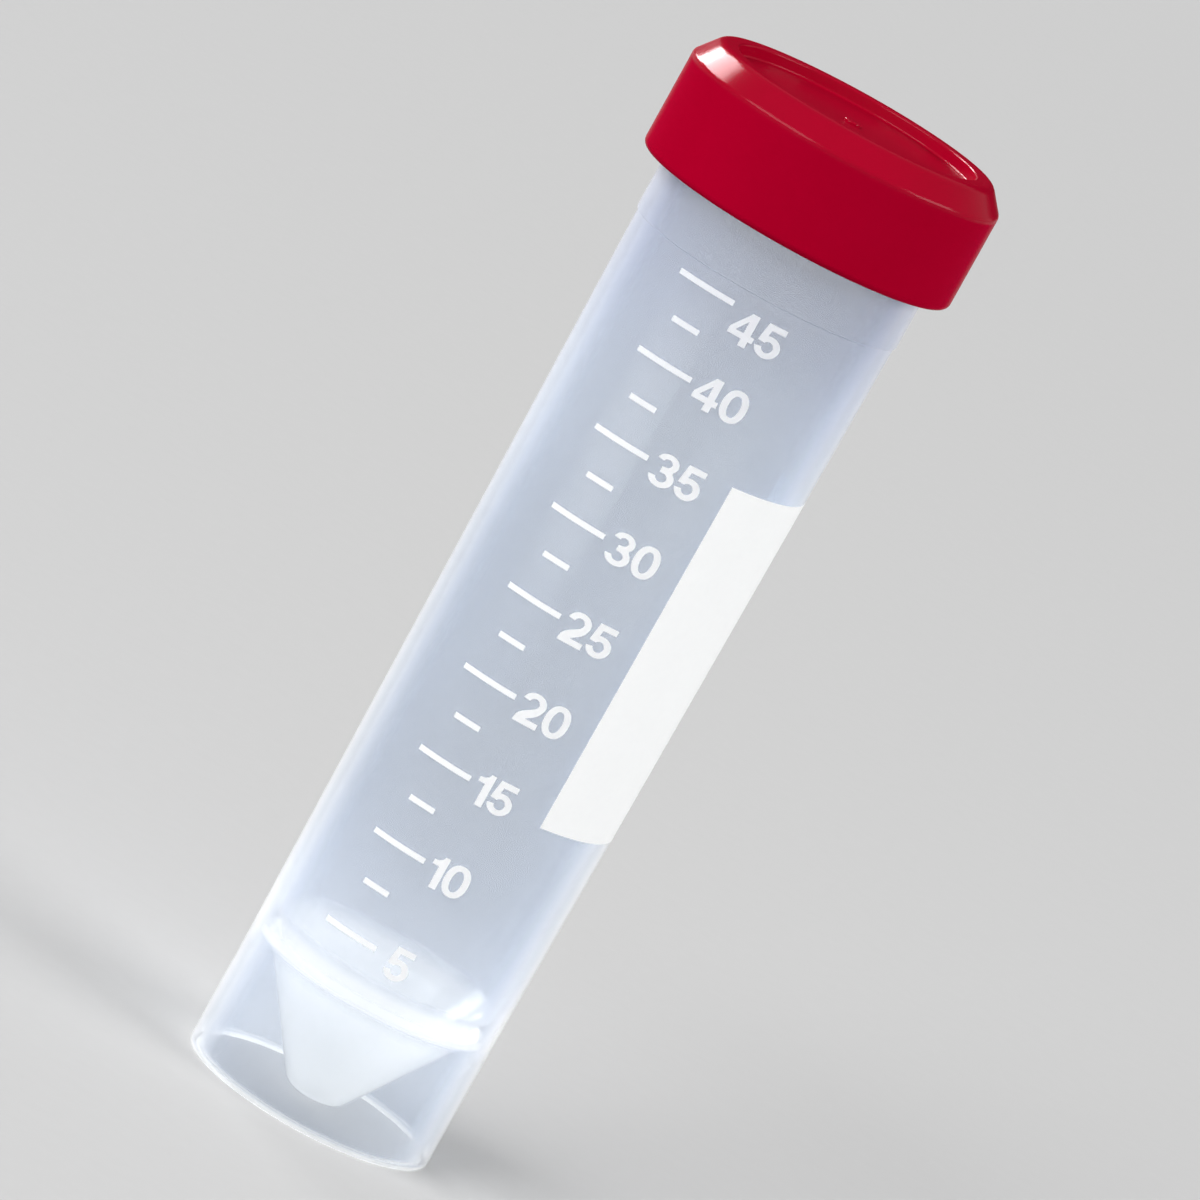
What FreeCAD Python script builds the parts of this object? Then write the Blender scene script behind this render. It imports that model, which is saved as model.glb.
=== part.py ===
import FreeCAD, Part

import math
import os

# A self-standing 50 ml conical tube with a screw cap, in millimetres.
# +Z is up along the tube's axis. The origin is at the centre of the skirt's bottom rim, on the
# surface that the tube stands on. The graduations face -Y.

# Tube: height, wall and taper
TUBE_HEIGHT = 113.4          # from the standing surface to the mouth
SKIRT_RADIUS = 13.7          # outside of the straight lower part
SKIRT_HEIGHT = 13.0          # above it the wall tapers outwards
BODY_DRAFT = 0.614           # degrees that the body's wall leans out
BODY_WALL = 1.1
SKIRT_WALL = 1.0
RIM_ROUNDING = 0.3           # both edges of the rim that the tube stands on

# Tube: inner cone and tip
CONE_HALF_ANGLE = 34.0       # degrees between the cone's side and the axis
CONE_WALL = 1.1
CONE_ROOT_ROUNDING = 0.4     # where the cone leaves the inside of the skirt
CONE_TOP_ROUNDING = 0.9      # where the bore turns into the cone
TIP_GAP = 0.75               # from the standing surface to the flat of the tip
TIP_WALL = 1.1
TIP_ROUNDING = 2.0           # outside, between the tip's flat and the cone
BOTTOM_RADIUS = 2.36         # inside, where the cone's side would meet the flat
BOTTOM_ROUNDING = 1.4        # inside, between the flat and the cone

# Tube: collar, neck and mouth
COLLAR_DROP = 16.4           # from the mouth down to the collar's lower edge
COLLAR_HEIGHT = 6.2          # its upper edge is just inside the cap
COLLAR_STEP = 0.2            # the collar stands proud of the body by this
COLLAR_ROUNDING = 0.08
NECK_WALL = 1.0
MOUTH_ROUNDING = 0.35

# Outside thread on the neck, one right-hand ridge
THREAD_PITCH = 3.6
THREAD_TURNS = 1.6
THREAD_DEPTH = 0.95
THREAD_CREST = 0.5           # flat at the ridge's outside
THREAD_FLANK = 30.0          # degrees between a flank and the horizontal
THREAD_DROP = 2.2            # from the mouth down to the ridge's upper end
THREAD_ROOT = 0.4            # how far the ridge starts inside the neck's surface

# Screw cap
CAP_WALL = 1.65
CAP_REACH = 10.5             # from the mouth down to the cap's lower edge
CAP_PLATE = 2.6              # top plate where it sits on the mouth
CAP_THREAD_GAP = 0.3         # between the ridge's crest and the cap's bore
CAP_ROUNDING = 0.7           # outside lower edge
CAP_INNER_ROUNDING = 0.35    # inside lower edge
CAP_CORNER_ROUNDING = 0.6    # inside, between the bore and the plate
BEVEL_HEIGHT = 2.5
BEVEL_WIDTH = 2.0
BEVEL_ROUNDING = 0.7         # between the side and the bevel
SHOULDER_ROUNDING = 1.2      # between the bevel and the flat ring
RIM_WIDTH = 1.9              # flat ring around the recess
RECESS_DEPTH = 1.35
RECESS_LEAN = 0.12           # the recess is this much wider at its top
RECESS_ROUNDING = 0.25
PLUG_GAP = 0.15              # between the plug ring and the mouth
PLUG_WALL = 0.9
PLUG_DEPTH = 2.6
PLUG_ROUNDING = 0.35
GATE_RADIUS = 0.9            # moulding gate left at the centre of the recess
GATE_HEIGHT = 0.3
GATE_ROUNDING = 0.2

# Sizes that follow from those above
DRAFT_SLOPE = math.tan(math.radians(BODY_DRAFT))
CONE_SLOPE = math.tan(math.radians(CONE_HALF_ANGLE))
COLLAR_BOTTOM = TUBE_HEIGHT - COLLAR_DROP
COLLAR_TOP = COLLAR_BOTTOM + COLLAR_HEIGHT
CONE_BOTTOM = TIP_GAP + TIP_WALL


def body_radius(height):
    """Outside radius of the tapered body at a height."""
    return SKIRT_RADIUS + DRAFT_SLOPE * (height - SKIRT_HEIGHT)


# The cone's side and the tapered bore are two straight lines, and the cone's top is where they cross
CONE_HEIGHT = (body_radius(CONE_BOTTOM) - BODY_WALL - BOTTOM_RADIUS) / (CONE_SLOPE - DRAFT_SLOPE)
CONE_TOP = CONE_BOTTOM + CONE_HEIGHT
CONE_TOP_RADIUS = body_radius(CONE_TOP) - BODY_WALL
SKIRT_BORE = SKIRT_RADIUS - SKIRT_WALL
MOUTH_RADIUS = body_radius(COLLAR_BOTTOM) - BODY_WALL
NECK_RADIUS = MOUTH_RADIUS + NECK_WALL
COLLAR_RADIUS = body_radius(COLLAR_BOTTOM) + COLLAR_STEP
THREAD_RADIUS = NECK_RADIUS + THREAD_DEPTH
CAP_BORE = THREAD_RADIUS + CAP_THREAD_GAP
CAP_RADIUS = CAP_BORE + CAP_WALL
CAP_BOTTOM = TUBE_HEIGHT - CAP_REACH
CAP_TOP = TUBE_HEIGHT + CAP_PLATE


def inner_cone_radius(height):
    """Radius of the cone's inside at a height."""
    return BOTTOM_RADIUS + CONE_SLOPE * (height - CONE_BOTTOM)


def outer_cone_radius(height):
    """Radius of the cone's outside at a height, one wall away from its inside."""
    return inner_cone_radius(height) + CONE_WALL / math.cos(math.radians(CONE_HALF_ANGLE))


def outer_cone_height(radius):
    """Height at which the cone's outside has a radius."""
    return (radius - outer_cone_radius(0)) / CONE_SLOPE


def corner_arc(before, corner, after, rounding):
    """Start, middle and end of the arc that rounds a corner of an outline."""
    if not rounding:
        return corner, corner, corner
    to_before = (before - corner).normalize()
    to_after = (after - corner).normalize()
    half_angle = to_before.getAngle(to_after) / 2
    setback = rounding / math.tan(half_angle)
    depth = rounding / math.sin(half_angle) - rounding
    middle = (to_before + to_after).normalize() * depth
    return corner + to_before * setback, corner + middle, corner + to_after * setback


def turned(corners):
    """Solid of revolution about Z from the corners (radius, height, rounding) of its half section."""
    points = [FreeCAD.Vector(radius, 0, height) for radius, height, rounding in corners]
    befores = points[-1:] + points[:-1]
    afters = points[1:] + points[:1]
    roundings = [rounding for radius, height, rounding in corners]
    arcs = [corner_arc(*corner) for corner in zip(befores, points, afters, roundings)]
    edges = []
    for (start, middle, end), (next_start, _, _) in zip(arcs, arcs[1:] + arcs[:1]):
        if start != end:
            edges.append(Part.Arc(start, middle, end).toShape())
        edges.append(Part.makeLine(end, next_start))
    section = Part.Face(Part.Wire(edges))
    return section.revolve(FreeCAD.Vector(0, 0, 0), FreeCAD.Vector(0, 0, 1), 360)


def tube_wall():
    """The tube without its thread: skirt, body, collar and neck outside, bore and cone inside."""
    return turned([
        (0, TIP_GAP, 0),
        (outer_cone_radius(TIP_GAP), TIP_GAP, TIP_ROUNDING),
        (SKIRT_BORE, outer_cone_height(SKIRT_BORE), CONE_ROOT_ROUNDING),
        (SKIRT_BORE, 0, RIM_ROUNDING),
        (SKIRT_RADIUS, 0, RIM_ROUNDING),
        (SKIRT_RADIUS, SKIRT_HEIGHT, 0),
        (body_radius(COLLAR_BOTTOM), COLLAR_BOTTOM, 0),
        (COLLAR_RADIUS, COLLAR_BOTTOM, COLLAR_ROUNDING),
        (COLLAR_RADIUS, COLLAR_TOP, COLLAR_ROUNDING),
        (NECK_RADIUS, COLLAR_TOP, 0),
        (NECK_RADIUS, TUBE_HEIGHT, MOUTH_ROUNDING),
        (MOUTH_RADIUS, TUBE_HEIGHT, MOUTH_ROUNDING),
        (MOUTH_RADIUS, COLLAR_BOTTOM, 0),
        (CONE_TOP_RADIUS, CONE_TOP, CONE_TOP_ROUNDING),
        (BOTTOM_RADIUS, CONE_BOTTOM, BOTTOM_ROUNDING),
        (0, CONE_BOTTOM, 0),
    ])


def thread_ridge():
    """One helical ridge with sloping flanks, rooted inside the neck's surface."""
    rise = THREAD_PITCH * THREAD_TURNS
    start = TUBE_HEIGHT - THREAD_DROP - rise
    root = NECK_RADIUS - THREAD_ROOT
    crest_half = THREAD_CREST / 2
    root_half = crest_half + (THREAD_DEPTH + THREAD_ROOT) * math.tan(math.radians(THREAD_FLANK))
    section = Part.makePolygon([
        FreeCAD.Vector(root, 0, start - root_half),
        FreeCAD.Vector(THREAD_RADIUS, 0, start - crest_half),
        FreeCAD.Vector(THREAD_RADIUS, 0, start + crest_half),
        FreeCAD.Vector(root, 0, start + root_half),
        FreeCAD.Vector(root, 0, start - root_half),
    ])
    helix = Part.makeHelix(THREAD_PITCH, rise, root)
    helix.translate(FreeCAD.Vector(0, 0, start))
    return Part.Wire(helix).makePipeShell([section], True, True)


def tube():
    return tube_wall().fuse(thread_ridge()).Solids[0]


def screw_cap():
    """Cap with a bevelled shoulder, a recessed top and a plug ring that enters the mouth."""
    rim_radius = CAP_RADIUS - BEVEL_WIDTH
    recess_radius = rim_radius - RIM_WIDTH
    floor = CAP_TOP - RECESS_DEPTH
    plug_radius = MOUTH_RADIUS - PLUG_GAP
    plug_bore = plug_radius - PLUG_WALL
    plug_bottom = TUBE_HEIGHT - PLUG_DEPTH
    return turned([
        (0, TUBE_HEIGHT, 0),
        (plug_bore, TUBE_HEIGHT, 0),
        (plug_bore, plug_bottom, PLUG_ROUNDING),
        (plug_radius, plug_bottom, PLUG_ROUNDING),
        (plug_radius, TUBE_HEIGHT, 0),
        (CAP_BORE, TUBE_HEIGHT, CAP_CORNER_ROUNDING),
        (CAP_BORE, CAP_BOTTOM, CAP_INNER_ROUNDING),
        (CAP_RADIUS, CAP_BOTTOM, CAP_ROUNDING),
        (CAP_RADIUS, CAP_TOP - BEVEL_HEIGHT, BEVEL_ROUNDING),
        (rim_radius, CAP_TOP, SHOULDER_ROUNDING),
        (recess_radius, CAP_TOP, RECESS_ROUNDING),
        (recess_radius - RECESS_LEAN, floor, RECESS_ROUNDING),
        (GATE_RADIUS, floor, 0),
        (GATE_RADIUS, floor + GATE_HEIGHT, GATE_ROUNDING),
        (0, floor + GATE_HEIGHT, 0),
    ])


os.makedirs("parts", exist_ok=True)
for name, shape in {"tube": tube(), "screw_cap": screw_cap()}.items():
    shape.exportStep("parts/" + name + ".step")
    print(name, shape.ShapeType, "valid" if shape.isValid() else "not valid", len(shape.Solids),
          "solid", round(shape.Volume), "mm3", shape.BoundBox)
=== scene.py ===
import math

import bmesh
import bpy
import numpy as np
from mathutils import Matrix, Vector


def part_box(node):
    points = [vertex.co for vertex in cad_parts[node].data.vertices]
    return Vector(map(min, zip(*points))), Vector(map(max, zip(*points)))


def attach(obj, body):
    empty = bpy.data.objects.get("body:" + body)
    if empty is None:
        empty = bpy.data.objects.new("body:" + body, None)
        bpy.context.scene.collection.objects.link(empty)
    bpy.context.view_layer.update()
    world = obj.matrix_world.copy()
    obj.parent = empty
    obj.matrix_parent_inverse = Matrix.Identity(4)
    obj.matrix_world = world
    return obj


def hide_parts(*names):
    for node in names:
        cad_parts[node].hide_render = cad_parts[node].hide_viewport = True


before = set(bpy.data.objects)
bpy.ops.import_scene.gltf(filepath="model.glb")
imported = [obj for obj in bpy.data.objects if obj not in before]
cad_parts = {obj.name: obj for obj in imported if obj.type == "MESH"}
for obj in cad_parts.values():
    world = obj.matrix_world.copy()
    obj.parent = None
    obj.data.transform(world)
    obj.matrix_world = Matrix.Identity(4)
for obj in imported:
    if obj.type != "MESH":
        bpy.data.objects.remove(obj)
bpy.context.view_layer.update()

# A self-standing 50 ml conical tube of translucent plastic, with a red screw cap and white print.
# The tube and the cap are turned pieces, and the print is three thin layers around the tube.
# Sizes are in millimetres where nothing else is said, and go into Blender in metres.
# Named angles are in degrees. Azimuths go round from the tube's front at -Y towards +X.
MM = 0.001
TINY = 1e-6

# ---- Sizes that the frame gives ----
TUBE_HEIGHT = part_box("tube")[1].z / MM
CAP_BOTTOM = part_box("screw_cap")[0].z / MM
CAP_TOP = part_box("screw_cap")[1].z / MM
CAP_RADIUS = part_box("screw_cap")[1].x / MM

# ---- Sizes with the same values as in the CAD source ----
SKIRT_RADIUS = 13.7          # outside of the straight lower part
SKIRT_HEIGHT = 13.0          # above it the wall tapers outwards
SKIRT_WALL = 1.0
BODY_DRAFT = 0.614           # how far the body's wall leans out
BODY_WALL = 1.1
RIM_ROUNDING = 0.3           # both edges of the rim that the tube stands on
CONE_HALF_ANGLE = 34.0       # between the cone's side and the axis
CONE_WALL = 1.1
CONE_ROOT_ROUNDING = 0.4     # where the cone leaves the inside of the skirt
CONE_TOP_ROUNDING = 0.9      # where the bore turns into the cone
TIP_GAP = 0.75               # from the standing surface to the flat of the tip
TIP_WALL = 1.1
TIP_ROUNDING = 2.0           # outside, between the tip's flat and the cone
BOTTOM_RADIUS = 2.36         # inside, where the cone's side would meet the flat
BOTTOM_ROUNDING = 1.4        # inside, between the flat and the cone
COLLAR_DROP = 16.4           # from the mouth down to the collar's lower edge
COLLAR_HEIGHT = 6.2          # its upper edge is just inside the cap
COLLAR_STEP = 0.2            # the collar stands proud of the body by this
COLLAR_ROUNDING = 0.08
NECK_WALL = 1.0
MOUTH_ROUNDING = 0.35
THREAD_PITCH = 3.6
THREAD_TURNS = 1.6
THREAD_DEPTH = 0.95
THREAD_CREST = 0.5           # flat at the ridge's outside
THREAD_FLANK = 30.0          # between a flank and the horizontal
THREAD_DROP = 2.2            # from the mouth down to the ridge's upper end
CAP_WALL = 1.65
CAP_ROUNDING = 0.7           # outside lower edge
CAP_INNER_ROUNDING = 0.35    # inside lower edge
CAP_CORNER_ROUNDING = 0.6    # inside, between the bore and the plate
BEVEL_HEIGHT = 2.5
BEVEL_WIDTH = 2.0
BEVEL_ROUNDING = 0.7         # between the side and the bevel
SHOULDER_ROUNDING = 1.2      # between the bevel and the flat ring
RIM_WIDTH = 1.9              # flat ring around the recess
RECESS_DEPTH = 1.35
RECESS_LEAN = 0.12           # the recess is this much wider at its top
RECESS_ROUNDING = 0.25
PLUG_GAP = 0.15              # between the plug ring and the mouth
PLUG_WALL = 0.9
PLUG_DEPTH = 2.6
PLUG_ROUNDING = 0.35
GATE_RADIUS = 0.9            # moulding gate left at the centre of the recess
GATE_HEIGHT = 0.3
GATE_ROUNDING = 0.2

# ---- Sizes of detail that only this model has ----
TIP_GATE_RADIUS = 0.8        # moulding gate left under the tube's tip
TIP_GATE_FOOT = 0.95         # its radius where it meets the tip
TIP_GATE_HEIGHT = 0.22
TIP_GATE_ROUNDING = 0.12
CAP_RIDGE_DROP = 1.0         # the cap's ridge pulls up against the underside of the tube's
RIDGE_FADE = 40              # a ridge dies away over this angle at each end
RIDGE_START_GAP = 0.5        # rows closer than this to the collar stay round

# ---- Sizes that follow from those above ----
DRAFT_SLOPE = math.tan(math.radians(BODY_DRAFT))
CONE_SLOPE = math.tan(math.radians(CONE_HALF_ANGLE))
FLANK_SLOPE = math.tan(math.radians(THREAD_FLANK))
COLLAR_BOTTOM = TUBE_HEIGHT - COLLAR_DROP
COLLAR_TOP = COLLAR_BOTTOM + COLLAR_HEIGHT
CONE_BOTTOM = TIP_GAP + TIP_WALL


def tapered_radius(height):
    """Outside radius of the tapered body at a height, also where the taper would go on below it."""
    return SKIRT_RADIUS + DRAFT_SLOPE * (height - SKIRT_HEIGHT)


def body_radius(height):
    """Outside radius of the skirt and the body at a height."""
    return tapered_radius(max(height, SKIRT_HEIGHT))


# The cone's side and the tapered bore are two straight lines, and the cone's top is where they cross
CONE_HEIGHT = (tapered_radius(CONE_BOTTOM) - BODY_WALL - BOTTOM_RADIUS) / (CONE_SLOPE - DRAFT_SLOPE)
CONE_TOP = CONE_BOTTOM + CONE_HEIGHT
SKIRT_BORE = SKIRT_RADIUS - SKIRT_WALL
MOUTH_RADIUS = body_radius(COLLAR_BOTTOM) - BODY_WALL
NECK_RADIUS = MOUTH_RADIUS + NECK_WALL
COLLAR_RADIUS = body_radius(COLLAR_BOTTOM) + COLLAR_STEP
THREAD_START = TUBE_HEIGHT - THREAD_DROP - THREAD_PITCH * THREAD_TURNS
CAP_BORE = CAP_RADIUS - CAP_WALL
RIM_RADIUS = CAP_RADIUS - BEVEL_WIDTH
RECESS_RADIUS = RIM_RADIUS - RIM_WIDTH
RECESS_FLOOR = CAP_TOP - RECESS_DEPTH
PLUG_RADIUS = MOUTH_RADIUS - PLUG_GAP
PLUG_BORE = PLUG_RADIUS - PLUG_WALL
PLUG_BOTTOM = TUBE_HEIGHT - PLUG_DEPTH


def inner_cone_radius(height):
    """Radius of the cone's inside at a height."""
    return BOTTOM_RADIUS + CONE_SLOPE * (height - CONE_BOTTOM)


def outer_cone_radius(height):
    """Radius of the cone's outside at a height, one wall away from its inside."""
    return inner_cone_radius(height) + CONE_WALL / math.cos(math.radians(CONE_HALF_ANGLE))


def outer_cone_height(radius):
    """Height at which the cone's outside has a radius."""
    return (radius - outer_cone_radius(0)) / CONE_SLOPE


def new_object(name, data):
    """Puts a mesh, curve, lamp or camera into the scene."""
    made = bpy.data.objects.new(name, data)
    bpy.context.scene.collection.objects.link(made)
    return made


# ---- Turned pieces ----
SEGMENTS = 256
HOLD = 0.06                  # rows this close to a corner keep the flats flat
ARC_STEP = 11                # turn from one row of a rounding to the next
FEWEST_STEPS = 3             # rows in a small rounding
THREAD_ROW = 0.115           # between the rows that carry a thread
SHARP_ANGLE = 32             # edges that turn more than this look sharp
SAME_RADIUS = 1e-4           # radii closer than this are taken as the same


def straight(start, end, spacing):
    """Points between two ends, the start among them, no further apart than spacing."""
    length = (end - start).length
    if length < TINY:
        return []
    stops = [0.0]
    if length > 4 * HOLD:
        count = max(2, math.ceil(length / spacing) + 1)
        stops += list(np.linspace(HOLD, length - HOLD, count))
    return [start.lerp(end, stop / length) for stop in stops]


def rounded(before, point, after, rounding):
    """Points along the arc that rounds a corner."""
    to_before = (before - point).normalized()
    to_after = (after - point).normalized()
    half = to_before.angle(to_after) / 2
    centre = point + (to_before + to_after).normalized() * rounding / math.sin(half)
    start = point + to_before * rounding / math.tan(half) - centre
    side = 1 if to_before.x * to_after.y - to_before.y * to_after.x < 0 else -1
    turn = (math.pi - 2 * half) * side
    steps = max(FEWEST_STEPS, math.ceil(abs(turn) / math.radians(ARC_STEP)))
    return [centre + Matrix.Rotation(turn * step / steps, 2) @ start for step in range(steps + 1)]


def outline(corners):
    """Half section (radius, height) from corners (radius, height, rounding, row spacing after it)."""
    points = [Vector(corner[:2]) for corner in corners]
    arcs = [[point] for point in points]
    for index in range(1, len(points) - 1):
        rounding = corners[index][2]
        if rounding:
            arcs[index] = rounded(*points[index - 1:index + 2], rounding)
    rows = []
    for arc, next_arc, corner in zip(arcs, arcs[1:], corners):
        rows += arc[:-1] + straight(arc[-1], next_arc[0], corner[3])
    return rows + arcs[-1]


def turned(name, corners, shape):
    """Mesh turned about Z. shape(radius, height, angles) gives a row's radii."""
    angles = np.arange(SEGMENTS) * 2 * math.pi / SEGMENTS
    vertices, faces, previous = [], [], None
    for radius, height in outline(corners):
        if radius < TINY:
            ring = [len(vertices)] * SEGMENTS
            vertices.append((0.0, 0.0, height))
        else:
            radii = shape(radius, height, angles)
            ring = list(range(len(vertices), len(vertices) + SEGMENTS))
            vertices += list(zip(radii * np.cos(angles), radii * np.sin(angles), [height] * SEGMENTS))
        if previous is not None:
            for this in range(SEGMENTS):
                following = (this + 1) % SEGMENTS
                around = [previous[this], previous[following], ring[following], ring[this]]
                # A face on the axis names the same corner twice, and keeps it once
                faces.append(list(dict.fromkeys(around)))
        previous = ring
    mesh = bpy.data.meshes.new(name)
    mesh.from_pydata([Vector(vertex) * MM for vertex in vertices], [], faces)
    mesh.polygons.foreach_set("use_smooth", [True] * len(mesh.polygons))
    mesh.set_sharp_from_angle(angle=math.radians(SHARP_ANGLE))
    return new_object(name, mesh)


def ridge(angles, height, start):
    """How far a one-start right-hand thread ridge stands out at a height."""
    out = np.zeros(len(angles))
    last = 2 * math.pi * THREAD_TURNS
    for lap in range(math.ceil(THREAD_TURNS)):
        along = angles + 2 * math.pi * lap
        fade = np.clip(np.minimum(along, last - along) / math.radians(RIDGE_FADE), 0, 1)
        depth = THREAD_DEPTH * fade * fade * (3 - 2 * fade)
        distance = abs(height - start - THREAD_PITCH * along / (2 * math.pi))
        flank = (THREAD_CREST / 2 + depth * FLANK_SLOPE - distance) / FLANK_SLOPE
        out = np.maximum(out, np.clip(flank, 0, depth))
    return out


def neck_shape(radius, height, angles):
    """The tube's rows are round, apart from the ridge outside the neck."""
    threaded = abs(radius - NECK_RADIUS) < SAME_RADIUS and height > COLLAR_TOP + RIDGE_START_GAP
    return radius + ridge(angles, height, THREAD_START) * threaded


def cap_shape(radius, height, angles):
    """The cap's rows are round, apart from the ridge inside its bore."""
    threaded = abs(radius - CAP_BORE) < SAME_RADIUS and CAP_BOTTOM < height < TUBE_HEIGHT
    return radius - ridge(angles, height, THREAD_START - CAP_RIDGE_DROP) * threaded


# From the middle of the tip's underside, round the outside and over the mouth, to the bore's bottom
tube = turned("tube_moulding", [
    (0, TIP_GAP - TIP_GATE_HEIGHT, 0, 0.5),
    (TIP_GATE_RADIUS, TIP_GAP - TIP_GATE_HEIGHT, TIP_GATE_ROUNDING, 0.5),
    (TIP_GATE_FOOT, TIP_GAP, 0, 0.6),
    (outer_cone_radius(TIP_GAP), TIP_GAP, TIP_ROUNDING, 1.6),
    (SKIRT_BORE, outer_cone_height(SKIRT_BORE), CONE_ROOT_ROUNDING, 2.5),
    (SKIRT_BORE, 0, RIM_ROUNDING, 1),
    (SKIRT_RADIUS, 0, RIM_ROUNDING, 2.5),
    (SKIRT_RADIUS, SKIRT_HEIGHT, 0, 3),
    (body_radius(COLLAR_BOTTOM), COLLAR_BOTTOM, 0, 1),
    (COLLAR_RADIUS, COLLAR_BOTTOM, COLLAR_ROUNDING, 2),
    (COLLAR_RADIUS, COLLAR_TOP, COLLAR_ROUNDING, 1),
    (NECK_RADIUS, COLLAR_TOP, 0, THREAD_ROW),
    (NECK_RADIUS, TUBE_HEIGHT, MOUTH_ROUNDING, 1),
    (MOUTH_RADIUS, TUBE_HEIGHT, MOUTH_ROUNDING, 3),
    (MOUTH_RADIUS, COLLAR_BOTTOM, 0, 3),
    (body_radius(CONE_TOP) - BODY_WALL, CONE_TOP, CONE_TOP_ROUNDING, 1.6),
    (BOTTOM_RADIUS, CONE_BOTTOM, BOTTOM_ROUNDING, 0.6),
    (0, CONE_BOTTOM, 0),
], neck_shape)

# From the middle of the plate's underside, down the bore and over the outside, to the gate mark
cap = turned("cap_moulding", [
    (0, TUBE_HEIGHT, 0, 2),
    (PLUG_BORE, TUBE_HEIGHT, 0, 1),
    (PLUG_BORE, PLUG_BOTTOM, PLUG_ROUNDING, 1),
    (PLUG_RADIUS, PLUG_BOTTOM, PLUG_ROUNDING, 1),
    (PLUG_RADIUS, TUBE_HEIGHT, 0, 1),
    (CAP_BORE, TUBE_HEIGHT, CAP_CORNER_ROUNDING, THREAD_ROW),
    (CAP_BORE, CAP_BOTTOM, CAP_INNER_ROUNDING, 1),
    (CAP_RADIUS, CAP_BOTTOM, CAP_ROUNDING, 2),
    (CAP_RADIUS, CAP_TOP - BEVEL_HEIGHT, BEVEL_ROUNDING, 1),
    (RIM_RADIUS, CAP_TOP, SHOULDER_ROUNDING, 1),
    (RECESS_RADIUS, CAP_TOP, RECESS_ROUNDING, 1),
    (RECESS_RADIUS - RECESS_LEAN, RECESS_FLOOR, RECESS_ROUNDING, 2),
    (GATE_RADIUS, RECESS_FLOOR, 0, 1),
    (GATE_RADIUS, RECESS_FLOOR + GATE_HEIGHT, GATE_ROUNDING, 0.6),
    (0, RECESS_FLOOR + GATE_HEIGHT, 0),
], cap_shape)

# ---- Print ----
INK_LOW = 0.012              # the ink's inner face stands this far off the wall
INK_HIGH = 0.034             # and its outer face this far
PRINT_RADIUS = 14.1          # arc lengths are measured at this radius
STRIP = 0.4                  # widest strip before a print is wrapped
MERGE = 0.001                # points this close become one
MARKS = range(5, 50, 5)      # volumes in millilitres that have a number
HALVES = [mark + 2.5 for mark in MARKS[:-1]]
MARK_ANGLES = (-32, -6)      # the azimuths of a line's ends
HALF_ANGLES = (-25, -12.5)
LINE = 0.58                  # how tall a line is
FIRST_MARK_DROP = 0.5        # the 5 ml mark sits a little below its fill height
PANEL_ANGLES = (30, 130)
PANEL_HEIGHTS = (39.0, 78.7)
DIGIT_HEIGHT = 3.5
DIGIT_SPACE = 0.06           # between two digits, as a share of their height
ONE_DIGIT_ANGLE = 0.3        # where the 5 starts
TWO_DIGITS_ANGLE = -3.2      # where the other numbers start
NUMBER_DROP = 0.3            # the numbers sit a little lower than their lines
TOP_NUMBER_DROP = 1.7        # and the top one lower still
BOW_STEP = 7                 # turn from one point of a digit's curve to the next
FEWEST_BOW_POINTS = 6
SWEEP_STEPS = 8
LEVELS = 20000               # thin layers that the bore's volume is added up from
MILLILITRE = 1000            # cubic millimetres


def merge_points(flat):
    bmesh.ops.remove_doubles(flat, verts=flat.verts[:], dist=MERGE)


def wrapped(name, flat):
    """Thin printed layer from flat faces: x is the arc from -Y towards +X, y the height."""
    merge_points(flat)
    low = min(vertex.co.x for vertex in flat.verts)
    high = max(vertex.co.x for vertex in flat.verts)
    for x in np.arange(math.floor(low / STRIP) * STRIP, high, STRIP):
        parts = flat.verts[:] + flat.edges[:] + flat.faces[:]
        bmesh.ops.bisect_plane(flat, geom=parts, dist=TINY, plane_co=(x, 0, 0), plane_no=(1, 0, 0))
    merge_points(flat)
    made = bmesh.ops.extrude_face_region(flat, geom=flat.faces[:], use_keep_orig=True)
    raised = {vertex for vertex in made["geom"] if isinstance(vertex, bmesh.types.BMVert)}
    for vertex in flat.verts:
        angle = vertex.co.x / PRINT_RADIUS
        radius = body_radius(vertex.co.y) + (INK_HIGH if vertex in raised else INK_LOW)
        vertex.co = Vector((radius * math.sin(angle), -radius * math.cos(angle), vertex.co.y)) * MM
    bmesh.ops.recalc_face_normals(flat, faces=flat.faces[:])
    mesh = bpy.data.meshes.new(name)
    flat.to_mesh(mesh)
    flat.free()
    return new_object(name, mesh)


def arc_length(degrees):
    return math.radians(degrees) * PRINT_RADIUS


def rectangle(flat, angles, bottom, top):
    left, right = arc_length(angles[0]), arc_length(angles[1])
    corners = ((left, bottom), (right, bottom), (right, top), (left, top))
    flat.faces.new([flat.verts.new((x, y, 0)) for x, y in corners])


def bore_radius(height):
    """Inside radius of the tube below its collar."""
    return min(inner_cone_radius(height), tapered_radius(height) - BODY_WALL)


def fill_heights(volumes):
    """Heights at which the bore holds each volume in millilitres."""
    heights = np.linspace(CONE_BOTTOM, COLLAR_BOTTOM, LEVELS)
    areas = np.array([math.pi * bore_radius(height) ** 2 for height in heights])
    held = np.cumsum(areas) * (heights[1] - heights[0]) / MILLILITRE
    return [float(np.interp(volume, held, heights)) for volume in volumes]


lines = bmesh.new()
mark_heights = fill_heights(MARKS)
mark_heights[0] -= FIRST_MARK_DROP
for heights, angles in ((mark_heights, MARK_ANGLES), (fill_heights(HALVES), HALF_ANGLES)):
    for height in heights:
        rectangle(lines, angles, height - LINE / 2, height + LINE / 2)
graduation_lines = wrapped("graduation_lines", lines)

panel = bmesh.new()
rectangle(panel, PANEL_ANGLES, *PANEL_HEIGHTS)
writing_panel = wrapped("writing_panel", panel)


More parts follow.
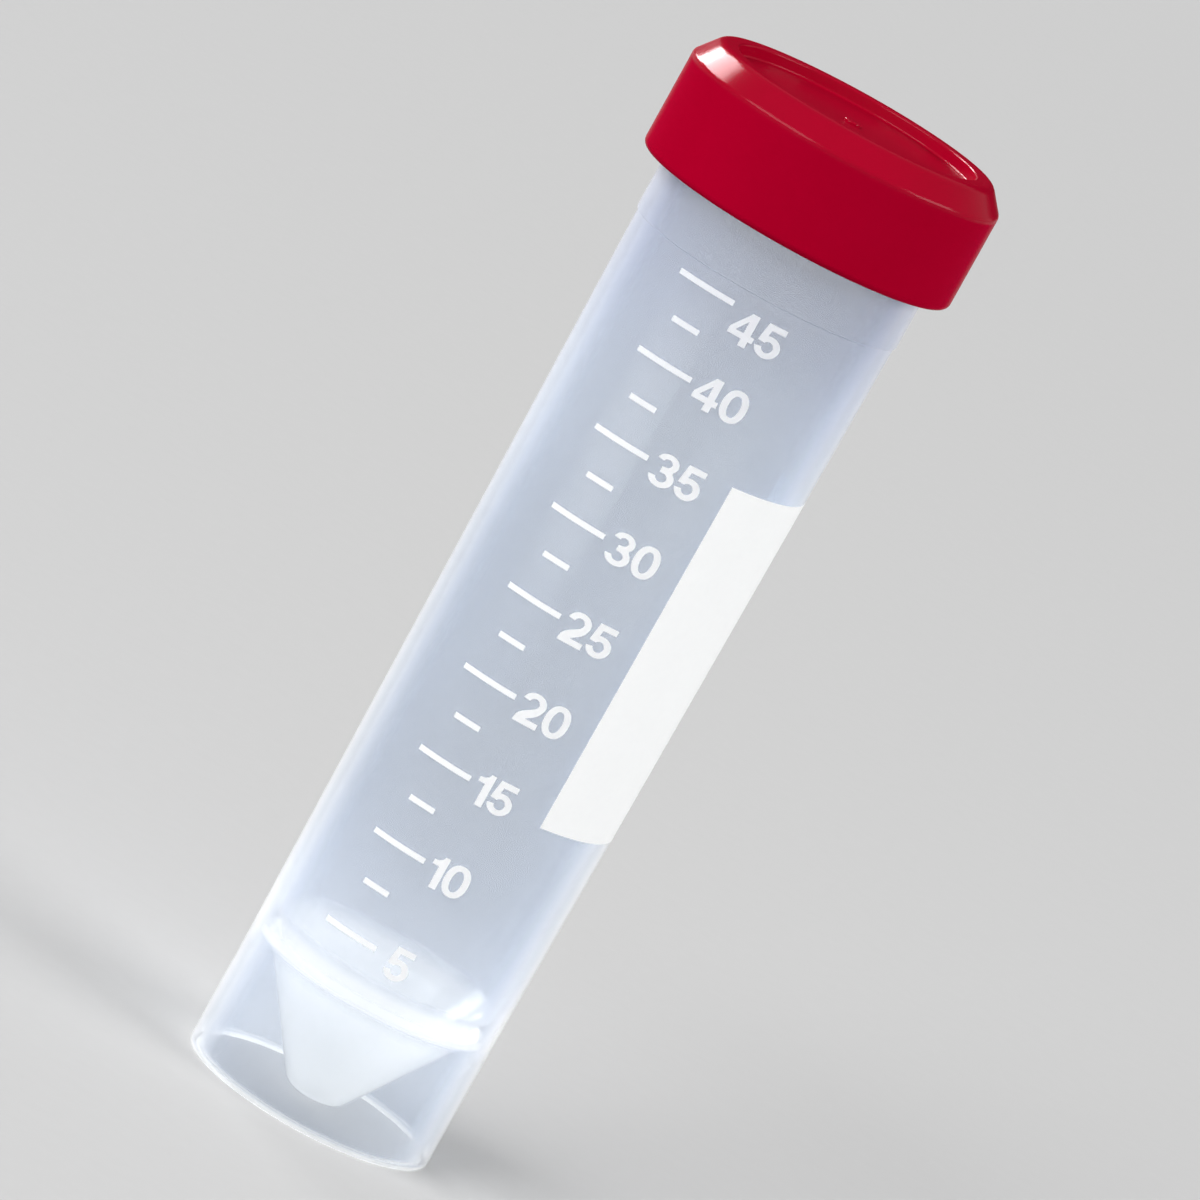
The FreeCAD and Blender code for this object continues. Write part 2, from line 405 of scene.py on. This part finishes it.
def bow(x, y, wide, tall, first, last, power=2.0):
    """Points along an oval's edge between two angles. A power over 2 squares it up."""
    points = []
    count = max(FEWEST_BOW_POINTS, int(abs(last - first) / BOW_STEP))
    for angle in np.radians(np.linspace(first, last, count)):
        across = math.cos(angle)
        up = math.sin(angle)
        points.append((x + wide * math.copysign(abs(across) ** (2 / power), across),
                       y + tall * math.copysign(abs(up) ** (2 / power), up)))
    return points


def sweep(*handles):
    """Points along a cubic curve with four handles, its ends left out."""
    start, leave, arrive, end = (np.array(handle) for handle in handles)
    points = []
    for along in np.linspace(0, 1, SWEEP_STEPS + 1)[1:-1]:
        rest = 1 - along
        points.append(tuple(start * rest ** 3 + 3 * leave * along * rest ** 2
                            + 3 * arrive * along * along * rest + end * along ** 3))
    return points


# Outlines of heavy upright digits, one unit tall. A digit's later outlines are holes in it.
DIGITS = {
    "0": [bow(0.38, 0.5, 0.38, 0.5, 0, 353, 2.25),
          bow(0.38, 0.5, 0.175, 0.335, 0, 353, 2.2)],
    "1": [[(0.24, 0), (0.46, 0), (0.46, 1), (0.31, 1), (0.265, 0.9), (0.16, 0.83), (0.03, 0.81),
           (0.03, 0.67), (0.24, 0.67)]],
    "2": [[(0.0, 0.0), (0.74, 0.0), (0.74, 0.18), (0.33, 0.18)]
          + sweep((0.33, 0.18), (0.42, 0.27), (0.65, 0.36), (0.70, 0.56))
          + bow(0.37, 0.69, 0.36, 0.31, -24, 172)
          + bow(0.37, 0.69, 0.155, 0.15, 172, -30)
          + sweep((0.504, 0.615), (0.43, 0.47), (0.03, 0.38), (0.0, 0.1))],
    "3": [bow(0.36, 0.735, 0.335, 0.265, 168, -42)
          + bow(0.37, 0.29, 0.37, 0.29, 46, -172)
          + bow(0.37, 0.29, 0.165, 0.135, -172, 84)
          + [(0.26, 0.43), (0.26, 0.6)]
          + bow(0.36, 0.735, 0.14, 0.12, -84, 168)],
    "4": [[(0.43, 0), (0.64, 0), (0.64, 0.21), (0.76, 0.21), (0.76, 0.38), (0.64, 0.38), (0.64, 1),
           (0.42, 1), (0.0, 0.4), (0.0, 0.21), (0.43, 0.21)],
          [(0.43, 0.38), (0.43, 0.75), (0.175, 0.38)]],
    "5": [[(0.115, 1), (0.69, 1), (0.69, 0.825), (0.27, 0.825), (0.245, 0.625)]
          + bow(0.37, 0.33, 0.37, 0.33, 108, -168)
          + bow(0.37, 0.33, 0.165, 0.165, -168, 146)
          + [(0.03, 0.44)]],
}


def digit(flat, outlines, left, middle):
    """Adds one digit's flat faces and returns its width."""
    curve = bpy.data.curves.new("digit", "CURVE")
    curve.dimensions = "2D"
    curve.fill_mode = "BOTH"
    for points in outlines:
        spline = curve.splines.new("POLY")
        spline.points.add(len(points) - 1)
        for point, (x, y) in zip(spline.points, points):
            point.co = (left + x * DIGIT_HEIGHT, middle + (y - 0.5) * DIGIT_HEIGHT, 0, 1)
        spline.use_cyclic_u = True
    holder = new_object("digit", curve)
    bpy.context.view_layer.update()
    filled = holder.evaluated_get(bpy.context.evaluated_depsgraph_get())
    flat.from_mesh(bpy.data.meshes.new_from_object(filled))
    bpy.data.objects.remove(holder)
    return max(x for x, y in outlines[0]) * DIGIT_HEIGHT


numbers = bmesh.new()
for volume, height in zip(MARKS, mark_heights):
    left = arc_length(ONE_DIGIT_ANGLE if volume < 10 else TWO_DIGITS_ANGLE)
    drop = TOP_NUMBER_DROP if volume == MARKS[-1] else NUMBER_DROP
    for character in str(volume):
        left += digit(numbers, DIGITS[character], left, height - drop) + DIGIT_SPACE * DIGIT_HEIGHT
graduation_numbers = wrapped("graduation_numbers", numbers)


# ---- Materials ----
class Nodes:
    """Short calls that add nodes to one material or world."""

    def __init__(self, owner):
        owner.use_nodes = True
        self.tree = owner.node_tree
        self.tree.nodes.clear()

    def add(self, kind, settings=None, **inputs):
        """Adds a node. An input goes by its name, with _ for a space, or by its number, as in i0."""
        node = self.tree.nodes.new("ShaderNode" + kind)
        for key, value in (settings or {}).items():
            setattr(node, key, value)
        for key, value in inputs.items():
            numbered = key[0] == "i" and key[1:].isdigit()
            socket = node.inputs[int(key[1:]) if numbered else key.replace("_", " ")]
            if isinstance(value, bpy.types.NodeSocket):
                self.tree.links.new(value, socket)
            else:
                socket.default_value = value
        return node

    def math(self, operation, first, second=0.0, third=0.0, clamp=False):
        settings = {"operation": operation, "use_clamp": clamp}
        return self.add("Math", settings, i0=first, i1=second, i2=third).outputs[0]

    def times(self, value, *others):
        """Product of two or more values."""
        for other in others:
            value = self.math("MULTIPLY", value, other)
        return value

    def most(self, value, *others):
        """The largest of two or more values."""
        for other in others:
            value = self.math("MAXIMUM", value, other)
        return value

    def ramp(self, value, span, start, end, smooth=True):
        """Goes from start to end while a value goes through a span, and stays level outside it."""
        settings = {"interpolation_type": "SMOOTHSTEP" if smooth else "LINEAR"}
        return self.add("MapRange", settings, Value=value, From_Min=span[0], From_Max=span[1],
                        To_Min=start, To_Max=end).outputs[0]

    def rise(self, value, span):
        return self.ramp(value, span, 0.0, 1.0)

    def fall(self, value, span):
        return self.ramp(value, span, 1.0, 0.0)

    def between(self, share, start, end):
        """A value between start, where a share is 0, and end, where it is 1."""
        return self.ramp(share, (0.0, 1.0), start, end, smooth=False)

    def place(self):
        return self.add("TexCoord").outputs["Object"]

    def facing(self):
        """0 where the surface is seen straight on, and 1 at its outline."""
        return self.add("LayerWeight", Blend=0.5).outputs["Facing"]

    def reflected(self, facing, at_outline, straight_on):
        """Share of the light that a glossy surface reflects, which grows towards its outline."""
        return self.math("MULTIPLY_ADD", self.math("POWER", facing, 5.0), at_outline, straight_on)

    def noise(self, place, scale, detail=3.0):
        return self.add("TexNoise", Vector=place, Scale=scale, Detail=detail, Roughness=0.5).outputs["Fac"]

    def blend(self, share, first, second, kind="MIX"):
        return self.add("MixRGB", {"blend_type": kind}, Fac=share, Color1=first, Color2=second).outputs[0]

    def colour(self, red, green, blue):
        return self.add("CombineColor", Red=red, Green=green, Blue=blue).outputs[0]

    def shader(self, kind, colour, **inputs):
        return self.add(kind, Color=colour, **inputs).outputs[0]

    def mix(self, share, first, second):
        return self.add("MixShader", i0=share, i1=first, i2=second).outputs[0]


def new_material(name):
    material = bpy.data.materials.new(name)
    return material, Nodes(material)


def metres(low, high):
    return low * MM, high * MM


def grey(value):
    return (value, value, value, 1)


WHITE = grey(1)
CLOUDS = (0.3, 0.7)          # the part of a noise's range that most of it falls in

# The tube's plastic is partly clear and partly milky. Here are its colours, then shares from 0 to 1,
# then the heights, radii and angles of view over which the looks change.
BODY_COLOUR = (0.615, 0.68, 0.81, 1)
NECK_COLOUR = (0.61, 0.675, 0.87, 1)
THICK_COLOUR = (0.965, 0.965, 0.955, 1)
CLEAR = 0.85                 # how clear half of a wall is when seen straight on
CLEAR_CLOUDS = 0.012         # how far soft clouds change that
CLEAR_GRAIN = 0.05           # how far a fine grain changes it
WALL_TINT = 0.90             # light that the clear part lets through
SKIRT_TINT = 0.97
TINT_GREEN = 0.010           # green and blue come through a little better
TINT_BLUE = 0.012
RING_MILK = 0.45             # where the cone meets the wall
# Partly a painted highlight: the band is milkier and whiter only where it is seen at the outline
BAND_MILK = 0.95             # the wall near that ring, at the tube's outline
LOW_MILK = 0.13              # the wall's lower part
THICK_CLEAR = 0.40           # milky parts are this many times as clear, seen straight on
THICK_CLEAR_OUTLINE = 0.3    # and at their outline
OUTLINE_CLEAR = 0.5          # left of the view at the outline, where a ray runs along inside the wall
OUTLINE_CLEAR_SKIRT = 0.3
# Painted highlight: the wall's colour is painted whiter at its outline, more on the lower wall than at the
# top
OUTLINE_PAINTED_WHITE = 0.9          # how white the lower wall's outline is
OUTLINE_PAINTED_WHITE_TOP = 0.4
THROUGH = 0.3                # scattered light that leaves on the far side of the wall
THROUGH_THICK = 0.6
THROUGH_TIP = 0.85
OUTLINE_FRONT = 0.6          # share of it that comes back to the front at the outline
PASS_WALL = 0.87             # the lamps' light that gets through a surface
PASS_THICK = 0.76
PASS_TIP = 0.92
# Painted shade: the neck under the cap and the skirt's inside, low down, let less of the lamps' light
# through
PASS_NECK = 0.56             # as a share of what the wall lets through
PASS_SKIRT_LOW = 0.1         # the same for the skirt's inside, at the rim and further up
PASS_SKIRT_HIGH = 0.68
WALL_ROUGHNESS = (0.11, 0.15)
WALL_GLOSS = (0.9, 0.035)    # reflected at the outline, and straight on
WALL_GLOSS_MOST = 0.6
MINIMUM_COSINE = 0.1
CLOUDS_PER_METRE = 140.0
CLOUD_STRETCH = (1, 1, 0.25)
SKIRT_END = metres(12.5, 14.5)
SKIRT_RADII = metres(12.3, 12.6)    # the skirt's wall starts at these radii
SKIRT_INSIDE = metres(13.1, 13.3)   # and its inside gives way to its outside at these
RIM_HEIGHTS = metres(0.3, 0.9)
RIM_RADII = metres(11.5, 12.0)
RING_START = metres(13.9, 14.6)
RING_END = metres(15.1, 15.8)
BAND_END = metres(18.0, 24.0)
CONE_END = metres(15.0, 17.5)
CONE_RADII = metres(12.1, 12.5)
ROOT_START = metres(13.5, 14.0)
ROOT_END = metres(15.5, 18.1)
ROOT_RADII = metres(12.9, 13.2)
LOW_END = metres(17.0, 32.0)
NECK_TURN = metres(78.0, 101.0)
WHITE_TURN = metres(30.0, 90.0)
TIP_THROUGH_END = metres(3.0, 12.0)
TIP_PASS_END = metres(2.0, 9.0)
NECK_SHADE = metres(95.0, 103.0)
SKIRT_SHADE = metres(2.0, 11.0)
OUTLINE_COSINES = (0.0, 0.65)
BAND_COSINES = (0.1, 0.6)
THICK_COSINES = (0.15, 0.75)


def polypropylene():
    """Translucent plastic. Each of the tube's surfaces stands for half of the wall's thickness."""
    material, nodes = new_material("translucent_polypropylene")
    place = nodes.place()
    x, y, height = nodes.add("SeparateXYZ", Vector=place).outputs
    radius = nodes.math("SQRT", nodes.math("ADD", nodes.math("POWER", x, 2.0), nodes.math("POWER", y, 2.0)))
    facing = nodes.facing()
    cosine = nodes.math("MAXIMUM", nodes.math("SUBTRACT", 1.0, facing), MINIMUM_COSINE)
    outline_share = nodes.fall(cosine, OUTLINE_COSINES)

    # Thick, milky parts: the cone, its root, the ring where it meets the wall, and the rim.
    # The band above that ring is made milky and white at the outline only, partly a painted highlight.
    above_skirt = nodes.rise(height, SKIRT_END)
    ring = nodes.times(nodes.rise(height, RING_START), nodes.fall(height, RING_END), RING_MILK)
    band = nodes.times(above_skirt, nodes.fall(height, BAND_END),
                       nodes.ramp(cosine, BAND_COSINES, BAND_MILK, 0.0))
    cone = nodes.times(nodes.fall(radius, CONE_RADII), nodes.fall(height, CONE_END))
    root = nodes.times(nodes.fall(radius, ROOT_RADII), nodes.rise(height, ROOT_START),
                       nodes.fall(height, ROOT_END))
    rim = nodes.times(nodes.fall(height, RIM_HEIGHTS), nodes.rise(radius, RIM_RADII))
    low = nodes.times(nodes.ramp(height, LOW_END, LOW_MILK, 0.0), above_skirt)
    thick_and_painted_band = nodes.most(ring, cone, root, rim, band, low)
    skirt = nodes.times(nodes.fall(height, SKIRT_END), nodes.rise(radius, SKIRT_RADII))

    # How much of what lies behind is seen. A slanting ray passes through more of the wall.
    cloud = nodes.noise(nodes.add("Mapping", Vector=place, Scale=CLOUD_STRETCH).outputs[0], CLOUDS_PER_METRE)
    grain = nodes.add("TexWhiteNoise", {"noise_dimensions": "3D"}, Vector=place).outputs["Value"]
    clear = nodes.ramp(cloud, CLOUDS, CLEAR - CLEAR_CLOUDS, CLEAR + CLEAR_CLOUDS, smooth=False)
    clear = nodes.math("ADD", clear, nodes.math("MULTIPLY_ADD", grain, 2 * CLEAR_GRAIN, -CLEAR_GRAIN))
    thick_clear = nodes.ramp(cosine, THICK_COSINES, THICK_CLEAR_OUTLINE, THICK_CLEAR)
    clear = nodes.times(clear, nodes.between(thick_and_painted_band, 1.0, thick_clear))
    at_outline = nodes.between(skirt, OUTLINE_CLEAR, OUTLINE_CLEAR_SKIRT)
    slanting = nodes.math("POWER", clear, nodes.math("DIVIDE", 1.0, cosine))
    passed = nodes.times(slanting, nodes.ramp(cosine, OUTLINE_COSINES, at_outline, 1.0))
    milk = nodes.math("SUBTRACT", 1.0, passed, clamp=True)
    tint = nodes.between(skirt, WALL_TINT, SKIRT_TINT)
    tint = nodes.colour(tint, nodes.math("ADD", tint, TINT_GREEN), nodes.math("ADD", tint, TINT_BLUE))

    # The milky part sends light back and on through the wall.
    # Its colour is also painted whiter towards the outline, more so low down: a painted highlight along the
    # edges.
    white = nodes.ramp(height, WHITE_TURN, OUTLINE_PAINTED_WHITE, OUTLINE_PAINTED_WHITE_TOP)
    white = nodes.most(thick_and_painted_band, nodes.times(outline_share, white))
    wall_colour = nodes.blend(nodes.rise(height, NECK_TURN), BODY_COLOUR, NECK_COLOUR)
    colour = nodes.blend(white, wall_colour, THICK_COLOUR)
    through = nodes.between(thick_and_painted_band, THROUGH, nodes.ramp(height, TIP_THROUGH_END, THROUGH_TIP, THROUGH_THICK))
    through = nodes.times(through, nodes.math("SUBTRACT", 1.0, nodes.times(outline_share, OUTLINE_FRONT)))
    back = nodes.shader("BsdfDiffuse", colour)
    scattered = nodes.mix(through, back, nodes.shader("BsdfTranslucent", colour))
    wall = nodes.mix(milk, nodes.shader("BsdfTransparent", tint), scattered)
    gloss = nodes.shader("BsdfAnisotropic", WHITE, Roughness=nodes.ramp(cloud, CLOUDS, *WALL_ROUGHNESS))
    shine = nodes.math("MINIMUM", nodes.reflected(facing, *WALL_GLOSS), WALL_GLOSS_MOST)
    surface = nodes.mix(shine, wall, gloss)

    # Milky plastic passes on most of the lamps' light, scattered, so that the inside is lit too.
    # Near the neck and low in the skirt's inside it passes less: a painted shade under the cap and inside
    # the skirt.
    share = nodes.between(thick_and_painted_band, PASS_WALL, nodes.ramp(height, TIP_PASS_END, PASS_TIP, PASS_THICK))
    share = nodes.times(share, nodes.ramp(height, NECK_SHADE, 1.0, PASS_NECK))
    inside = nodes.times(skirt, nodes.fall(radius, SKIRT_INSIDE))
    in_skirt = nodes.ramp(height, SKIRT_SHADE, PASS_SKIRT_LOW, PASS_SKIRT_HIGH)
    share = nodes.times(share, nodes.between(inside, 1.0, in_skirt))
    lit_through = nodes.shader("BsdfTransparent", nodes.colour(share, share, share))
    shadow_ray = nodes.add("LightPath").outputs["Is Shadow Ray"]
    nodes.add("OutputMaterial", Surface=nodes.mix(shadow_ray, surface, lit_through))
    return material


CAP_COLOURS = ((0.33, 0.0, 0.014, 1), (0.36, 0.0, 0.018, 1))
CAP_CLOUDS_PER_METRE = 90.0
CAP_GRAINS_PER_METRE = 3000.0
CAP_GRAIN_DEPTH = 0.03 * MM
CAP_GRAIN_STRENGTH = 0.3
CAP_ROUGHNESS = (0.14, 0.18)
CAP_GLOSS = (0.3, 0.008)     # reflected at the outline, and straight on
SIDE_GLOSS_COLOUR = (1.0, 0.06, 0.2, 1)
TOP_GLOSS_COLOUR = (1, 0.9, 0.9, 1)
SIDE_END = metres(CAP_TOP - BEVEL_HEIGHT - 0.6, CAP_TOP - BEVEL_HEIGHT - 0.3)
WHITE_FACING = (0.75, 0.97)  # the side too reflects in white, close to its outline


def polyethylene():
    """Opaque red plastic, whose side reflects in red and whose shoulder and top reflect in white."""
    material, nodes = new_material("red_polyethylene")
    place = nodes.place()
    facing = nodes.facing()
    cloud = nodes.noise(place, CAP_CLOUDS_PER_METRE)
    grain = nodes.noise(place, CAP_GRAINS_PER_METRE, detail=2.0)
    bump = nodes.add("Bump", Strength=CAP_GRAIN_STRENGTH, Distance=CAP_GRAIN_DEPTH, Height=grain).outputs[0]
    red = nodes.shader("BsdfDiffuse", nodes.blend(cloud, *CAP_COLOURS))
    top = nodes.rise(nodes.add("SeparateXYZ", Vector=place).outputs["Z"], SIDE_END)
    white = nodes.most(top, nodes.rise(facing, WHITE_FACING))
    tone = nodes.blend(white, SIDE_GLOSS_COLOUR, TOP_GLOSS_COLOUR)
    roughness = nodes.ramp(cloud, CLOUDS, *CAP_ROUGHNESS)
    gloss = nodes.shader("BsdfAnisotropic", tone, Roughness=roughness, Normal=bump)
    nodes.add("OutputMaterial", Surface=nodes.mix(nodes.reflected(facing, *CAP_GLOSS), red, gloss))
    return material


INK_COLOURS = ((0.94, 0.95, 0.955, 1), (0.975, 0.985, 0.985, 1))
INK_SPOTS_PER_METRE = 1400.0
INK_ROUGHNESS = (0.4, 0.5)
INK_GLOSS = (0.5, 0.035)     # reflected at the outline, and straight on
THIN_COLOUR = (0.80, 0.81, 0.86, 1)
THIN_SIDE = metres(5.0, 6.5)  # across the space between the numbers and the panel
THIN_HEIGHTS = metres(70.0, 100.0)
THIN_LOW = 0.35              # the lower lines and numbers take this much of the thin colour


def ink():
    """White ink, a little less white where it is printed in thin lines and numbers."""
    material, nodes = new_material("white_ink")
    place = nodes.place()
    mottle = nodes.noise(place, INK_SPOTS_PER_METRE)
    split = nodes.add("SeparateXYZ", Vector=place).outputs
    thin = nodes.ramp(split["Z"], THIN_HEIGHTS, THIN_LOW, 1.0)
    thin = nodes.times(nodes.fall(split["X"], THIN_SIDE), thin)
    colour = nodes.blend(thin, nodes.blend(mottle, *INK_COLOURS), THIN_COLOUR, "MULTIPLY")
    gloss = nodes.shader("BsdfAnisotropic", WHITE, Roughness=nodes.ramp(mottle, CLOUDS, *INK_ROUGHNESS))
    shine = nodes.reflected(nodes.facing(), *INK_GLOSS)
    nodes.add("OutputMaterial", Surface=nodes.mix(shine, nodes.shader("BsdfDiffuse", colour), gloss))
    return material


tube.data.materials.append(polypropylene())
cap.data.materials.append(polyethylene())
white = ink()
for piece in (graduation_lines, graduation_numbers, writing_panel):
    piece.data.materials.append(white)

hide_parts("tube")
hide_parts("screw_cap")
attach(cap, "cap")
for piece in (tube, graduation_lines, graduation_numbers, writing_panel):
    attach(piece, "tube")

# ---- Floor and board, in metres ----
FLOOR_HALF = 7.0
FLOOR_TONES = (0.52, 0.535)
FLOOR_SPOTS_PER_METRE = 400.0
BOARD_HALF = 0.9
BOARD_BACK = 1.6
BOARD_LOW = 0.12
BOARD_HIGH = 1.1
BOARD_TONE = 0.02


def paper():
    material, nodes = new_material("floor_paper")
    tooth = nodes.noise(nodes.place(), FLOOR_SPOTS_PER_METRE)
    tone = nodes.blend(tooth, grey(FLOOR_TONES[0]), grey(FLOOR_TONES[1]))
    nodes.add("OutputMaterial", Surface=nodes.shader("BsdfDiffuse", tone, Roughness=0.5))
    return material


def cloth():
    material, nodes = new_material("board_cloth")
    nodes.add("OutputMaterial", Surface=nodes.shader("BsdfDiffuse", grey(BOARD_TONE)))
    return material


def sheet(name, corners, material):
    """One flat face with four corners."""
    mesh = bpy.data.meshes.new(name)
    mesh.from_pydata(corners, [], [(0, 1, 2, 3)])
    mesh.materials.append(material)
    return new_object(name, mesh)


floor = sheet("floor", [
    (-FLOOR_HALF, -FLOOR_HALF, 0),
    (FLOOR_HALF, -FLOOR_HALF, 0),
    (FLOOR_HALF, FLOOR_HALF, 0),
    (-FLOOR_HALF, FLOOR_HALF, 0),
], paper())

# A dark board behind the tube, out of view, that the cap's top reflects
board = sheet("board", [
    (-BOARD_HALF, BOARD_BACK, BOARD_LOW),
    (BOARD_HALF, BOARD_BACK, BOARD_LOW),
    (BOARD_HALF, BOARD_BACK, BOARD_HIGH),
    (-BOARD_HALF, BOARD_BACK, BOARD_HIGH),
], cloth())
board.visible_camera = False
board.visible_diffuse = False
board.visible_transmission = False
board.visible_shadow = False

# ---- Camera, in metres ----
CAMERA_PLACE = (0.00116, -1.0218, 0.2502)
CAMERA_PITCH = 10.547        # how far it looks down
CAMERA_ROLL = 29.1           # gives the upright tube its slant in the picture
CAMERA_LENS = 309.6
CAMERA_SENSOR = 36.0
CAMERA_CLIP = (0.05, 50.0)

camera_data = bpy.data.cameras.new("camera")
camera_data.lens = CAMERA_LENS
camera_data.sensor_width = CAMERA_SENSOR
camera_data.clip_start, camera_data.clip_end = CAMERA_CLIP
camera = new_object("camera", camera_data)
camera.matrix_world = (Matrix.Translation(CAMERA_PLACE)
                       @ Matrix.Rotation(math.radians(90 - CAMERA_PITCH), 4, "X")
                       @ Matrix.Rotation(math.radians(CAMERA_ROLL), 4, "Z"))
bpy.context.scene.camera = camera


# ---- Lamps: distances and sizes in metres, power in watts ----
STRIP_AIM = 19               # millimetres
STRIP_SPREAD = 70


def softbox(name, azimuth, elevation, distance, size, power, aim=TUBE_HEIGHT / 2):
    """Rectangular lamp that faces the tube's axis at the height aim, which is in millimetres."""
    data = bpy.data.lights.new(name, "AREA")
    data.shape = "RECTANGLE"
    data.size, data.size_y = size
    data.energy = power
    lamp = new_object(name, data)
    turn = math.radians(azimuth)
    rise = math.radians(elevation)
    towards = Vector((math.sin(turn) * math.cos(rise), -math.cos(turn) * math.cos(rise), math.sin(rise)))
    lamp.location = Vector((0, 0, aim)) * MM + towards * distance
    lamp.rotation_mode = "QUATERNION"
    lamp.rotation_quaternion = towards.to_track_quat("Z", "Y")
    lamp.visible_camera = False
    return lamp


softbox("key", azimuth=-48, elevation=33, distance=3.0, size=(2.8, 1.6), power=102)
softbox("back", azimuth=-147, elevation=16, distance=3.0, size=(0.9, 0.7), power=65)

# Seen only in reflections, it makes the highlight on the cap's shoulder
glint = softbox("glint", azimuth=-127, elevation=28, distance=3.0, size=(1.5, 0.9), power=150)
glint.visible_diffuse = False
glint.visible_transmission = False

# A narrow lamp close to the tube, which brightens the band where the cone meets the wall
strip = softbox("strip", azimuth=-41, elevation=0, distance=0.3, size=(0.26, 0.036), power=0.007,
                aim=STRIP_AIM)
strip.data.spread = math.radians(STRIP_SPREAD)

softbox("side", azimuth=80, elevation=25, distance=3.0, size=(2.0, 1.2), power=65)

# ---- World: the light that fills the shadows, and the tone that is seen or reflected ----
FILL_TONE = 0.15
SEEN_TONE = 0.58

world = bpy.data.worlds.new("studio")
bpy.context.scene.world = world
nodes = Nodes(world)
ray = nodes.add("LightPath").outputs
seen = nodes.most(ray["Is Camera Ray"], ray["Is Glossy Ray"], ray["Is Transmission Ray"])
fill = nodes.shader("Background", grey(FILL_TONE))
nodes.add("OutputWorld", Surface=nodes.mix(seen, fill, nodes.shader("Background", grey(SEEN_TONE))))

view_settings = bpy.context.scene.view_settings
view_settings.view_transform = "Standard"
# Enough for a ray that crosses all of the tube's clear surfaces
bpy.context.scene.cycles.transparent_max_bounces = 32
